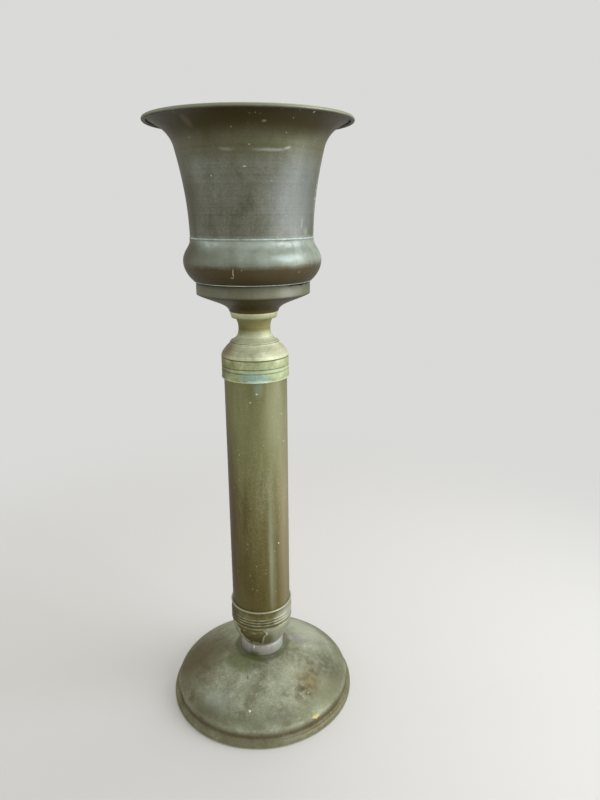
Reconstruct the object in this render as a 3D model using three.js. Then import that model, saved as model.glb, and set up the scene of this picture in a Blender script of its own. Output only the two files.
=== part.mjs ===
// An umbrella stand in the form of a brass urn on a column, with a domed foot.
// Lengths are millimetres, +Z is up, and z = 0 is the floor under the middle of the base.
// Nearly every piece is spun or turned: a profile of (radius, height) points turned about the Z axis.
// Each profile is drawn from its own seat, and the mesh is then stood at the height of that seat.

import * as THREE from 'three';

// Fits and sheet.
const fit = 0.3;                  // clearance where one piece meets or enters another
const urnSheet = 1.0;             // spun sheet of the bell, the bowl and the dish
const baseSheet = 1.4;            // heavier spun sheet of the base
const seamLap = 7;                // how far a spun piece reaches into the one below it

// Base: a dome with a flat crown, an upright cove under its edge and a hemmed lip.
const baseRadius = 122.2;         // outside of the lip
const lipHeight = 8.5;            // floor to the foot of the cove
const lipRise = 2;                // upright edge at the bottom of the lip
const lipWidth = 3.8;             // how far the lip stands out from the cove
const coveWidth = 1.6;            // how far the cove curls in to the upright wall
const domeEdgeHeight = 21;        // height at which the dome begins
const domeEdgeRound = 6;          // soft edge between the upright wall and the dome
const hemWidth = 7;               // sheet turned in flat under the lip
const crownHeight = 62;           // flat top of the dome
const crownRadius = 30;           // flat seat of the collar

// Collar, and the cast cup that stands in it.
const collarRadius = 28.4;
const collarHeight = 14.4;
const collarRound = 4.4;          // how far the collar's top edge is drawn in
const cupNeckRadius = 22;         // neck of the cup, inside the collar
const cupTopRadius = 38.9;        // mouth of the cup, under the ferrule
const cupHeight = 33;             // collar to mouth
const cupSlope = 35;              // degrees by which the cup rises where it leaves the collar
const cupWall = 4;
const solderWidth = 1.3;          // solder in the angle of cup and collar, at its foot
const solderReach = 9;            // how far it runs up the side of the cup

// Tube, and the spigots that centre its ends.
const tubeRadius = 38.1;
const tubeWall = 1.65;
const tubeLength = 360;
const spigotHeight = 12;
const spigotWall = 3;

// Ferrules: beaded at the foot of the tube, and grooved at its head.
const footFerruleHeight = 27;
const footFerruleRadius = 39.3;
const footBeadSize = 1.1;         // how far a bead stands out, and half its height
const footBeadCount = 3;          // beads between the two at the edges
const footBeadHeight = 5.4;       // foot of the first of them
const footBeadPitch = 4.05;
const capFerruleHeight = 25.6;
const capFerruleRadius = 40.3;
const capGrooveHeight = 10.7;     // first groove, up from the lower edge
const capGroovePitch = 4.7;       // from the first groove to the second
const capGrooveSize = 0.7;        // depth of a groove, and half its width
const capBeadSize = 0.9;          // bead round the lower edge

// Domed cap and the waisted spool above it.
const capHeight = 17;
const capRadius = 40.3;
const capTopRadius = 29.4;
const capShoulder = 3.6;          // height at which the cap turns in
const capStep = 1.4;              // small upright step round the top of the cap
const capWall = 4;
const spoolHeight = 35.5;
const spoolFootRadius = 28.2;
const spoolFootEdge = 1;          // upright edge of the spool's foot
const spoolSweep = 4;             // height at which the foot sweeps up into the waist
const waistRadius = 18.9;
const waistHeight = 15.7;
const spoolHeadRadius = 22.4;     // under the flange
const flangeRadius = 28.6;
const flangeHeight = 7.2;
const flangeTaper = 2;            // the flange is this much smaller at its lower edge

// Urn: dish, bowl and bell, each lapped into the one below.
const dishHeight = 34.7;
const dishRadius = 66;            // upright band of the dish
const dishFootRadius = 29.2;      // flat bottom of the dish, on the flange
const dishBandHeight = 13.8;      // height of the upright band
const dishTurnRadius = 46;        // where the underside turns from hollow to full
const dishTurnHeight = 12.3;
const dishSlope = 21;             // degrees by which the underside rises there
const bowlHeight = 47.2;
const bowlFootRadius = 67.3;      // bottom of the bulge, just over the dish's band
const bowlSlope = 42;             // degrees by which the bulge rises from its foot
const bulgeRadius = 79;
const bulgeHeight = 22.8;
const bowlTurnRadius = 74.5;      // where the shoulder turns from full to hollow
const bowlTurnHeight = 36;
const bowlShoulderSlope = 123;    // degrees from level at that turn, leaning in
const bowlNeckRadius = 70.4;
const bowlNeckHeight = 44.6;      // where the shoulder has become upright
const bellHeight = 124.1;
const bellFootRadius = 69.9;
const bellKneeHeight = 44.4;      // corner of the long curve of the wall
const flareRadius = 82;           // where the wall goes over into the flare
const flareHeight = 94.4;
const flareSlope = 20;            // degrees by which the flare rises at the rim
const rimRadius = 114.3;          // outside of the wired edge
const rimWireRadius = 1;
const rimWrap = 290;              // degrees that the sheet is curled round the wire
const seamBeadSize = 0.7;         // bead of solder round the foot of the bell

// Tie rod with its nuts and washers, and the weight in the base.
const rodRadius = 4.75;
const rodEnd = 4;                 // rod that stands past each nut
const nutWidth = 16;              // across the flats
const nutHeight = 8;
const washerRadius = 15;
const washerThickness = 2;
const weightRadius = 78;
const weightHeight = 28;
const weightGap = 0.6;            // between its sloping side and the sheet of the dome

// How finely the round shapes are faceted.
const urnSteps = 36;
const columnSteps = 24;
const rodSteps = 20;
const curveSteps = 3;
const wireSides = 6;

// Sizes that follow from the others.
const rodHole = rodRadius + fit;
const spigotRadius = tubeRadius - tubeWall - fit;
const ferruleBore = tubeRadius + fit;
const tubeSeat = crownHeight + fit + collarHeight + cupHeight + fit;
const capSeat = tubeSeat + tubeLength + fit;
const spoolSeat = capSeat + capHeight + fit;
const dishSeat = spoolSeat + spoolHeight + fit;
const bowlSeat = dishSeat + dishHeight + fit;
const bellSeat = bowlSeat + bowlHeight + fit;
const weightSeat = crownHeight - baseSheet - fit - weightHeight;
const curlRadius = rimWireRadius + fit;
const rimWireOrbit = rimRadius - urnSheet - curlRadius;
const rimWireHeight = bellHeight - urnSheet - curlRadius;

// The dome is part of a sphere, centred on the axis, through its edge and the rim of its crown.
const domeEdgeRadius = baseRadius - lipWidth - coveWidth;
const domeMiddle = (crownHeight ** 2 + crownRadius ** 2 - domeEdgeHeight ** 2 - domeEdgeRadius ** 2)
  / (2 * (crownHeight - domeEdgeHeight));
const domeRadius = Math.hypot(crownRadius, crownHeight - domeMiddle);

const stand = new THREE.Group();

function metal(color, roughness, metalness) {
  return new THREE.MeshStandardMaterial({ color, roughness, metalness });
}

const materials = {
  darkBrass: metal('#554d3b', 0.45, 0.9),
  dullBrass: metal('#6b6546', 0.5, 0.9),
  castBrass: metal('#96925c', 0.6, 0.85),
  greenBrass: metal('#75765c', 0.6, 0.8),
  solder: metal('#a9a99a', 0.5, 0.8),
  steel: metal('#85837d', 0.45, 1),
  castIron: metal('#3b3936', 0.8, 0.7),
};

// A unit step along a slope given in degrees from level.
function along(slope) {
  const angle = THREE.MathUtils.degToRad(slope);
  return new THREE.Vector2(Math.cos(angle), Math.sin(angle));
}

// The corner where the line through p on one slope meets the line through q on another.
function corner(p, slopeP, q, slopeQ) {
  const stepP = along(slopeP);
  const stepQ = along(slopeQ);
  const reach = q.clone().sub(p).cross(stepQ) / stepP.cross(stepQ);
  return p.clone().addScaledVector(stepP, reach);
}

// Carries a path on to a point by a curve that leaves and arrives on the two given slopes.
function bend(path, slopeFrom, to, slopeTo) {
  const knee = corner(path.currentPoint, slopeFrom, to, slopeTo);
  path.quadraticCurveTo(knee.x, knee.y, to.x, to.y);
}

// A round bead that swells out of an upright wall and ends two bead sizes higher.
function bead(path, size) {
  const { x, y } = path.currentPoint;
  path.quadraticCurveTo(x + 2 * size, y + size, x, y + 2 * size);
}

// A V groove cut in an upright wall, with its middle at the given height.
function groove(path, radius, height, size) {
  path.lineTo(radius, height - size);
  path.lineTo(radius - size, height);
  path.lineTo(radius, height + size);
}

function pathFrom(radius, height) {
  return new THREE.Path().moveTo(radius, height);
}

// The points of a path, without the doubles where two curves join.
function pointsOf(path) {
  const points = path.getPoints(curveSteps);
  const apart = fit / 100;
  return points.filter((point, index) => index === 0 || point.distanceTo(points[index - 1]) > apart);
}

// A row of points moved sideways, to the left of its direction, with mitred corners.
function offset(points, distance) {
  const normals = points.slice(1).map((point, index) => {
    const step = point.clone().sub(points[index]).normalize();
    return new THREE.Vector2(-step.y, step.x);
  });
  return points.map((point, index) => {
    const before = normals[Math.max(index - 1, 0)];
    const after = normals[Math.min(index, normals.length - 1)];
    const mitre = before.clone().add(after).divideScalar(1 + before.dot(after));
    return point.clone().addScaledVector(mitre, distance);
  });
}

// The closed profile of a sheet, from the path of its outer face.
function sheetProfile(path, thickness) {
  const outside = pointsOf(path);
  const inside = offset(outside, thickness).reverse();
  return [...outside, ...inside, outside[0]];
}

function closedProfile(path) {
  const points = pointsOf(path);
  return [...points, points[0]];
}

function place(name, geometry, material, seat) {
  const mesh = new THREE.Mesh(geometry, material);
  mesh.name = name;
  mesh.position.z = seat;
  stand.add(mesh);
}

function turn(name, profile, steps, material, seat) {
  const geometry = new THREE.LatheGeometry(profile, steps);
  geometry.rotateX(Math.PI / 2);
  place(name, geometry, material, seat);
}

function ring(name, innerRadius, outerRadius, height, steps, material, seat) {
  const path = pathFrom(innerRadius, 0);
  path.lineTo(outerRadius, 0);
  path.lineTo(outerRadius, height);
  path.lineTo(innerRadius, height);
  turn(name, closedProfile(path), steps, material, seat);
}

// The dome from its edge in to the crown, at a distance inside its outer face.
function domeArc(path, radius, fromRadius, toRadius) {
  const start = Math.acos(fromRadius / radius);
  const end = Math.acos(toRadius / radius);
  path.absarc(0, domeMiddle, radius, start, end, false);
}

function addBaseDome() {
  const wallRadius = domeEdgeRadius;
  const path = pathFrom(baseRadius - hemWidth, 0);
  path.lineTo(baseRadius, 0);
  path.lineTo(baseRadius, lipRise);
  bend(path, 90, new THREE.Vector2(baseRadius - lipWidth, lipHeight), 180);
  path.quadraticCurveTo(wallRadius, lipHeight, wallRadius, (lipHeight + domeEdgeHeight) / 2);
  path.lineTo(wallRadius, domeEdgeHeight - domeEdgeRound);
  const softRadius = wallRadius - domeEdgeRound;
  const softHeight = domeMiddle + Math.sqrt(domeRadius ** 2 - softRadius ** 2);
  path.quadraticCurveTo(wallRadius, domeEdgeHeight, softRadius, softHeight);
  domeArc(path, domeRadius, softRadius, crownRadius);
  path.lineTo(rodHole, crownHeight);
  turn('base_dome', sheetProfile(path, baseSheet), urnSteps, materials.greenBrass, 0);
}

// The weight fills the crown of the dome from below, and its top follows the underside of the sheet.
function addWeight() {
  const topRadius = domeRadius - baseSheet - weightGap;
  const edgeHeight = domeMiddle + Math.sqrt(topRadius ** 2 - weightRadius ** 2);
  const path = pathFrom(rodHole, weightSeat);
  path.lineTo(weightRadius, weightSeat);
  path.lineTo(weightRadius, edgeHeight);
  const flatHeight = weightSeat + weightHeight;
  const flatRadius = Math.sqrt(topRadius ** 2 - (flatHeight - domeMiddle) ** 2);
  domeArc(path, topRadius, weightRadius, flatRadius);
  path.lineTo(rodHole, flatHeight);
  turn('base_weight', closedProfile(path), columnSteps, materials.castIron, 0);
}

function addCollar() {
  const bore = cupNeckRadius + fit;
  const path = pathFrom(bore, 0);
  path.lineTo(collarRadius, 0);
  path.lineTo(collarRadius, collarHeight / 2);
  path.quadraticCurveTo(collarRadius, collarHeight, collarRadius - collarRound, collarHeight);
  path.lineTo(bore, collarHeight);
  turn('base_collar', closedProfile(path), columnSteps, materials.greenBrass, crownHeight + fit);
}

// Carries a path from the neck of the cup up its side to its mouth.
function cupSide(path) {
  path.lineTo(cupNeckRadius, collarHeight);
  bend(path, cupSlope, new THREE.Vector2(cupTopRadius, collarHeight + cupHeight), 90);
}

function addCup() {
  const mouth = collarHeight + cupHeight;
  const boreRadius = spigotRadius - spigotWall;
  const path = pathFrom(rodHole, 0);
  path.lineTo(cupNeckRadius, 0);
  cupSide(path);
  path.lineTo(spigotRadius, mouth);
  path.lineTo(spigotRadius, mouth + spigotHeight);
  path.lineTo(boreRadius, mouth + spigotHeight);
  path.lineTo(boreRadius, mouth - cupWall);
  path.lineTo(cupNeckRadius - cupWall, collarHeight + cupWall);
  path.lineTo(cupNeckRadius - cupWall, cupWall);
  path.lineTo(rodHole, cupWall);
  turn('foot_cup', closedProfile(path), columnSteps, materials.dullBrass, crownHeight + fit);
}

// A wedge of solder stands on the collar and thins out up the side of the cup.
function addCupSolder() {
  const side = pathFrom(cupNeckRadius, 0);
  cupSide(side);
  const [low, high] = offset(pointsOf(side).slice(1, 3), -fit);
  const step = high.clone().sub(low).normalize();
  const rise = (collarHeight + fit - low.y) / step.y;
  const foot = low.clone().addScaledVector(step, rise);
  const top = foot.clone().addScaledVector(step, solderReach);
  const path = pathFrom(foot.x, foot.y);
  path.lineTo(foot.x + solderWidth, foot.y);
  path.lineTo(top.x, top.y);
  turn('cup_solder', closedProfile(path), columnSteps, materials.solder, crownHeight + fit);
}

function addFootFerrule() {
  const path = pathFrom(ferruleBore, 0);
  path.lineTo(footFerruleRadius, 0);
  bead(path, footBeadSize);
  for (let i = 0; i < footBeadCount; i += 1) {
    path.lineTo(footFerruleRadius, footBeadHeight + i * footBeadPitch);
    bead(path, footBeadSize);
  }
  path.lineTo(footFerruleRadius, footFerruleHeight - 2 * footBeadSize);
  bead(path, footBeadSize);
  path.lineTo(ferruleBore, footFerruleHeight);
  turn('foot_ferrule', closedProfile(path), columnSteps, materials.dullBrass, tubeSeat);
}

function addTube() {
  const bore = tubeRadius - tubeWall;
  ring('column_tube', bore, tubeRadius, tubeLength, columnSteps, materials.dullBrass, tubeSeat);
}

function addCapFerrule() {
  const radius = capFerruleRadius;
  const path = pathFrom(ferruleBore, 0);
  path.lineTo(radius - capBeadSize / 2, 0);
  bead(path, capBeadSize);
  path.lineTo(radius, 2 * capBeadSize);
  groove(path, radius, capGrooveHeight, capGrooveSize);
  groove(path, radius, capGrooveHeight + capGroovePitch, capGrooveSize);
  path.lineTo(radius, capFerruleHeight - capGrooveSize);
  path.lineTo(radius - capGrooveSize, capFerruleHeight);
  path.lineTo(ferruleBore, capFerruleHeight);
  const seat = tubeSeat + tubeLength - capFerruleHeight;
  turn('cap_ferrule', closedProfile(path), columnSteps, materials.castBrass, seat);
}

function addCap() {
  const boreRadius = spigotRadius - spigotWall;
  const path = pathFrom(boreRadius, -spigotHeight);
  path.lineTo(spigotRadius, -spigotHeight);
  path.lineTo(spigotRadius, 0);
  path.lineTo(capRadius - capGrooveSize, 0);
  path.lineTo(capRadius, capGrooveSize);
  path.quadraticCurveTo(capRadius, capShoulder, capTopRadius, capHeight - capStep);
  path.lineTo(capTopRadius, capHeight);
  path.lineTo(rodHole, capHeight);
  path.lineTo(rodHole, capHeight - capWall);
  path.lineTo(capTopRadius - capWall, capHeight - capWall);
  path.lineTo(boreRadius, capShoulder);
  turn('cap_dome', closedProfile(path), columnSteps, materials.castBrass, capSeat);
}

function addSpool() {
  const flangeFoot = spoolHeight - flangeHeight;
  const path = pathFrom(rodHole, 0);
  path.lineTo(spoolFootRadius, 0);
  path.lineTo(spoolFootRadius, spoolFootEdge);
  path.quadraticCurveTo(waistRadius, spoolSweep, waistRadius, waistHeight);
  path.quadraticCurveTo(waistRadius, (waistHeight + flangeFoot) / 2, spoolHeadRadius, flangeFoot);
  path.lineTo(flangeRadius - flangeTaper, flangeFoot);
  path.lineTo(flangeRadius, spoolHeight);
  path.lineTo(rodHole, spoolHeight);
  turn('neck_spool', closedProfile(path), columnSteps, materials.castBrass, spoolSeat);
}

function addDish() {
  const bandFoot = dishHeight - dishBandHeight;
  const path = pathFrom(rodHole, 0);
  path.lineTo(washerRadius + fit, 0);
  path.lineTo(dishFootRadius, 0);
  bend(path, 90, new THREE.Vector2(dishTurnRadius, dishTurnHeight), dishSlope);
  bend(path, dishSlope, new THREE.Vector2(dishRadius, bandFoot), 90);
  path.lineTo(dishRadius, dishHeight);
  turn('urn_dish', sheetProfile(path, urnSheet), urnSteps, materials.darkBrass, dishSeat);
}

// The bowl's tail stands inside the dish's band, and its bulge rests on the edge of the band.
function addBowl() {
  const tailRadius = dishRadius - urnSheet - fit;
  const path = pathFrom(tailRadius, -seamLap);
  path.lineTo(tailRadius, 0);
  path.lineTo(bowlFootRadius, 0);
  bend(path, bowlSlope, new THREE.Vector2(bulgeRadius, bulgeHeight), 90);
  bend(path, 90, new THREE.Vector2(bowlTurnRadius, bowlTurnHeight), bowlShoulderSlope);
  bend(path, bowlShoulderSlope, new THREE.Vector2(bowlNeckRadius, bowlNeckHeight), 90);
  path.lineTo(bowlNeckRadius, bowlHeight);
  turn('urn_bowl', sheetProfile(path, urnSheet), urnSteps, materials.darkBrass, bowlSeat);
}

// The bell's tail stands inside the bowl's neck. At the rim the sheet is curled over a wire,
// out and down, so that the edge is round and stiff.
function addBell() {
  const tailRadius = bowlNeckRadius - urnSheet - fit;
  const knee = new THREE.Vector2(bellFootRadius, bellKneeHeight);
  const wallTop = new THREE.Vector2(flareRadius, flareHeight);
  const wallSlope = THREE.MathUtils.radToDeg(wallTop.clone().sub(knee).angle());
  const curlFrom = THREE.MathUtils.degToRad(90 + flareSlope);
  const curlTo = curlFrom - THREE.MathUtils.degToRad(rimWrap);
  const curlMiddle = new THREE.Vector2(rimWireOrbit, rimWireHeight);
  const curlStart = curlMiddle.clone().addScaledVector(along(90 + flareSlope), curlRadius);
  const path = pathFrom(tailRadius, -seamLap);
  path.lineTo(tailRadius, 0);
  path.lineTo(bellFootRadius, 0);
  path.quadraticCurveTo(knee.x, knee.y, wallTop.x, wallTop.y);
  bend(path, wallSlope, curlStart, flareSlope);
  path.absarc(curlMiddle.x, curlMiddle.y, curlRadius, curlFrom, curlTo, true);
  turn('urn_bell', sheetProfile(path, urnSheet), urnSteps, materials.darkBrass, bellSeat);
}

function addRimWire() {
  const points = [];
  for (let i = 0; i <= wireSides; i += 1) {
    const side = along((i * 360) / wireSides).multiplyScalar(rimWireRadius);
    points.push(new THREE.Vector2(rimWireOrbit + side.x, rimWireHeight + side.y));
  }
  turn('rim_wire', points, urnSteps, materials.steel, bellSeat);
}

function addSeamBead() {
  const path = pathFrom(bellFootRadius + fit, 0);
  bead(path, seamBeadSize);
  turn('seam_bead', closedProfile(path), urnSteps, materials.solder, bellSeat);
}

function addNut(name, seat) {
  const outline = new THREE.Shape();
  const cornerRadius = nutWidth / Math.sqrt(3);
  for (let i = 0; i < 6; i += 1) {
    const point = along(i * 60).multiplyScalar(cornerRadius);
    if (i === 0) outline.moveTo(point.x, point.y);
    else outline.lineTo(point.x, point.y);
  }
  outline.closePath();
  outline.holes.push(new THREE.Path().absarc(0, 0, rodHole, 0, 2 * Math.PI, true));
  const settings = { depth: nutHeight, bevelEnabled: false, curveSegments: rodSteps / 2 };
  place(name, new THREE.ExtrudeGeometry(outline, settings), materials.steel, seat);
}

// The rod draws the whole stack together, from under the weight to the floor of the urn.
function addTieRod() {
  const upperWasher = dishSeat + urnSheet + fit;
  const upperNut = upperWasher + washerThickness + fit;
  const lowerWasher = weightSeat - fit - washerThickness;
  const lowerNut = lowerWasher - fit - nutHeight;
  const rodBottom = lowerNut - rodEnd;
  const rodTop = upperNut + nutHeight + rodEnd;
  ring('upper_washer', rodHole, washerRadius, washerThickness, rodSteps, materials.steel, upperWasher);
  ring('lower_washer', rodHole, washerRadius, washerThickness, rodSteps, materials.steel, lowerWasher);
  addNut('upper_nut', upperNut);
  addNut('lower_nut', lowerNut);
  const rod = new THREE.CylinderGeometry(rodRadius, rodRadius, rodTop - rodBottom, rodSteps);
  rod.rotateX(Math.PI / 2);
  place('tie_rod', rod, materials.steel, (rodTop + rodBottom) / 2);
}

addBaseDome();
addWeight();
addCollar();
addCup();
addCupSolder();
addFootFerrule();
addTube();
addCapFerrule();
addCap();
addSpool();
addDish();
addBowl();
addBell();
addRimWire();
addSeamBead();
addTieRod();

export default stand;
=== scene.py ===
# Brass umbrella stand: the fine surfaces, the aged finishes, a pale studio and the camera.
# Lengths are millimetres in the dictionaries and metres in Blender, with +Z up and the floor at 0.
import math
import bmesh
import bpy
from mathutils import Matrix, Vector, noise


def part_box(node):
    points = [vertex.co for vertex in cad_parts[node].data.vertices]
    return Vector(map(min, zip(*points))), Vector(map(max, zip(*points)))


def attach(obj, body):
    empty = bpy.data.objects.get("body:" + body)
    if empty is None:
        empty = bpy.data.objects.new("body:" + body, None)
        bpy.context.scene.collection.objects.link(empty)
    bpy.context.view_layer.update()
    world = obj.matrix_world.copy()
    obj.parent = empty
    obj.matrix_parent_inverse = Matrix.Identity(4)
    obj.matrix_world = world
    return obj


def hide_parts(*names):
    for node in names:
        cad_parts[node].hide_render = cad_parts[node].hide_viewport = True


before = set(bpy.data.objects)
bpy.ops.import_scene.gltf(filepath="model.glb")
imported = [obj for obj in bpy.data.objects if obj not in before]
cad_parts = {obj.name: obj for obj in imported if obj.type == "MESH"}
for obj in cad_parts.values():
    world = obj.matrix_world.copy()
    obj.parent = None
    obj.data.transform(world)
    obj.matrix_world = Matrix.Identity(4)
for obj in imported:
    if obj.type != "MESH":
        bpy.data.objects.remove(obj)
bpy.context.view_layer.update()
mm = 0.001
weld = 0.002                # points of a piece that are closer than this become one
print("frame loaded")


# Where a piece is seated, how high it stands above that, and how far it reaches from the axis.
# Its lap or spigot hangs below the seat.
def measure(node, below=0):
    low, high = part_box(node)
    seat = low.z / mm + below
    return seat, high.z / mm - seat, high.x / mm


# A step of 1 on a slope, in degrees from level.
def along(slope):
    angle = math.radians(slope)
    return Vector((math.cos(angle), math.sin(angle)))


# Carries an outline on by a curve that leaves on one slope and arrives on another.
def bend(outline, slopeFrom, end, slopeTo, steps=12):
    start, end = Vector(outline[-1]), Vector(end)
    leave, arrive = along(slopeFrom), along(slopeTo)
    reach = (end - start).cross(arrive) / leave.cross(arrive)
    curve(outline, start + leave * reach, end, steps)


# The same by a curve that heads for its knee and turns off to its end.
def curve(outline, knee, end, steps=12):
    start, knee, end = Vector(outline[-1]), Vector(knee), Vector(end)
    for i in range(1, steps + 1):
        t = i / steps
        outline.append(start * (1 - t) ** 2 + knee * 2 * t * (1 - t) + end * t ** 2)


def arc(outline, middle, radius, slopeFrom, slopeTo, steps=12):
    for i in range(steps + 1):
        slope = slopeFrom + (slopeTo - slopeFrom) * i / steps
        outline.append(Vector(middle) + along(slope) * radius)


# A bead is half an ellipse that swells out of an upright wall.
def bead(outline, radius, height, size, steps=8):
    for i in range(steps + 1):
        step = along(-90 + 180 * i / steps) * size
        outline.append(Vector((radius + step.x, height + size + step.y)))


def groove(outline, radius, height, size):
    outline.append((radius, height - size))
    curve(outline, (radius - 2 * size, height), (radius, height + size), steps=8)


# Rounds the corners of an outline that turn by more degrees than a soft curve does.
def roundCorners(bm, size, turn=30, segments=3):
    corners = []
    for vert in bm.verts:
        if len(vert.link_edges) == 2:
            reach = [edge.other_vert(vert).co - vert.co for edge in vert.link_edges]
            if reach[0].angle(reach[1]) < math.radians(180 - turn):
                corners.append(vert)
    bmesh.ops.bevel(bm, geom=corners, offset=size * mm, offset_type="OFFSET", segments=segments,
                    profile=0.5, affect="VERTICES", material=-1, clamp_overlap=True)


# Spins an outline of (radius, height) round the Z axis into a piece, as it was on the lathe.
def turned(name, outline, seat, node, material, closed=True, steps=160, edge=0.25):
    bm = bmesh.new()
    verts = [bm.verts.new((r * mm, 0, (seat + z) * mm)) for r, z in outline]
    rounds = verts + verts[:1] if closed else verts
    for a, b in zip(rounds, rounds[1:]):
        bm.edges.new((a, b))
    bmesh.ops.remove_doubles(bm, verts=bm.verts, dist=weld * mm)
    if edge:
        roundCorners(bm, edge)
    bmesh.ops.spin(bm, geom=bm.verts[:] + bm.edges[:], axis=(0, 0, 1), cent=(0, 0, 0),
                   angle=math.tau, steps=steps, use_merge=True)
    bmesh.ops.remove_doubles(bm, verts=bm.verts, dist=weld * mm)
    bmesh.ops.recalc_face_normals(bm, faces=bm.faces)
    lean = sum(face.normal.dot(outward(face.calc_center_median())) * face.calc_area()
               for face in bm.faces)
    if not closed and lean < 0:
        bmesh.ops.reverse_faces(bm, faces=bm.faces)
    return finishPiece(bm, name, node, material)


def outward(place):
    return Vector((place.x, place.y, 0)).normalized()


def finishPiece(bm, name, node, material, sharp=35):
    mesh = bpy.data.meshes.new(name)
    bm.to_mesh(mesh)
    bm.free()
    mesh.shade_smooth()
    mesh.set_sharp_from_angle(angle=math.radians(sharp))
    piece = bpy.data.objects.new(name, mesh)
    bpy.context.collection.objects.link(piece)
    piece.data.materials.append(material)
    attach(piece, "root")
    if node:
        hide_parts(node)
    return piece


# Gives a spun sheet its wall, on the side away from the outer face.
def thicken(piece, thickness):
    wall = piece.modifiers.new("wall", "SOLIDIFY")
    wall.thickness = thickness * mm
    wall.offset = -1
    wall.use_even_offset = True
    wall.use_quality_normals = True


# Thin sheet is never quite round: it leans in by a fraction of a millimetre here and there.
def dent(piece, depth, spacing):
    for vert in piece.data.vertices:
        place = vert.co / (spacing * mm)
        lean = max(0, min(1, 0.5 + 0.5 * noise.noise(place)))
        vert.co -= outward(vert.co) * lean * depth * mm


def linear(hexColour):
    values = [int(hexColour[i:i + 2], 16) / 255 for i in (1, 3, 5)]
    return [v / 12.92 if v <= 0.04045 else ((v + 0.055) / 1.055) ** 2.4 for v in values] + [1]


# Adds a shader node and gives back one of its outputs. A setting that is another node's output is
# linked, and the others are set.
def addNode(tree, kind, settings, output=0):
    node = tree.nodes.new("ShaderNode" + kind)
    for key, value in settings.items():
        if isinstance(value, bpy.types.NodeSocket):
            tree.links.new(value, node.inputs[key])
        elif isinstance(key, str) and hasattr(node, key):
            setattr(node, key, value)
        else:
            node.inputs[key].default_value = value
    return node.outputs[output]


# The scale at which a pattern's patches have about this size in millimetres.
def scaleFor(size):
    return 1 / (size * mm)


soft = {"interpolation_type": "SMOOTHSTEP"}     # a step from one value to another with soft ends
slotOf = {}                                     # material name to the record's slot

# How the noise patterns are read. Their values lie round 0.5, so a step between two looks does too.
pattern = {
    "tarnishEnds": (0.34, 0.66),        # from deep to bright tarnish
    "roughEnds": (0.3, 0.7),            # from the smoothest film to the roughest
    "patchEdge": (0.42, 0.58),          # from bare to covered, in a broken band or mark
    "grainRough": 0.7,                  # how crisp the grain is
    "streakDrawn": 0.06,                # streaks are drawn out about 16 times
    "fleckCore": 0.6,                   # share of a fleck that is solid
}

# What a look has unless it says otherwise. Sizes are in millimetres, and shares run from 0 to 1.
plainLook = {
    "drawn": 1.0,                       # how far the tarnish is drawn out upwards, 1 for not at all
    "patchy": 0.6,                      # how rough the edges of its patches are
    "streaks": 0.2, "streakWidth": 5,   # streaks that run down the wall
    "grains": 0.4,                      # how strongly the grain shows
    "rings": 0.0, "toolPitch": 1.6,     # dirt held in the tool marks, and how far apart they are
    "toolMarks": 0.02, "tooth": 0.05,   # depth of the tool marks and of the grain
    "coat": 0.0, "coatRough": 0.35,     # what is left of the lacquer
    "glance": "#8f8b7c", "gloss": 0.5,  # tint and strength of the metal's own gloss
    "stray": 6, "strayPitch": 14,       # how far the edges of bands and marks wander, and how often
    "bands": [], "paintedLightSides": [], "marks": [], "tornEdge": None, "flecks": None,
}


# Aged metal: the metal shows through its tarnish, so it is part mirror and part dull film, with
# a broad soft gloss. A look says how far tarnish, dust, stains and wear have gone, and where,
# and where shade and highlights are painted into the colour.
# The grain of real tarnish is about 0.2 mm; it is drawn near 2 mm, so that it shows.
def agedMetal(name, look):
    look = {**plainLook, **look}
    material = bpy.data.materials.new(name)
    material.use_nodes = True
    tree = material.node_tree
    shader = tree.nodes["Principled BSDF"]
    coord = addNode(tree, "TexCoord", {}).node.outputs
    shift = 60 * len(slotOf) * mm               # so that no two metals have the same pattern
    slotOf[name] = look["slot"]
    place = addNode(tree, "Mapping", {"Location": (shift, -shift, 0), "Vector": coord["Object"]})
    reads = readings(tree, coord, place, look)
    grain = addNode(tree, "TexNoise", {
        "Scale": scaleFor(look["grain"]), "Detail": 4.0, "Roughness": pattern["grainRough"],
        "Vector": place})
    colour = tarnish(tree, reads, place, grain, look)
    for mask, over in layers(tree, reads, place, look):
        colour = addNode(tree, "Mix", {"data_type": "RGBA", 0: mask, 6: colour, 7: linear(over)}, 2)
    tree.links.new(colour, shader.inputs["Base Color"])
    blotch = addNode(tree, "TexNoise", {
        "Scale": scaleFor(0.5 * look["mottle"]), "Detail": 4.0, "Vector": place})
    low, high = pattern["roughEnds"]
    smoothest, roughest = look["rough"]
    rough = addNode(tree, "MapRange", {0: blotch, 1: low, 2: high, 3: smoothest, 4: roughest})
    tree.links.new(rough, shader.inputs["Roughness"])
    settings = {
        "Metallic": look["metallic"], "Specular Tint": linear(look["glance"]),
        "Specular IOR Level": look["gloss"], "Coat Weight": look["coat"],
        "Coat Roughness": look["coatRough"],
    }
    for key, value in settings.items():
        shader.inputs[key].default_value = value
    tree.links.new(relief(tree, reads, grain, look), shader.inputs["Normal"])
    return material
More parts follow.
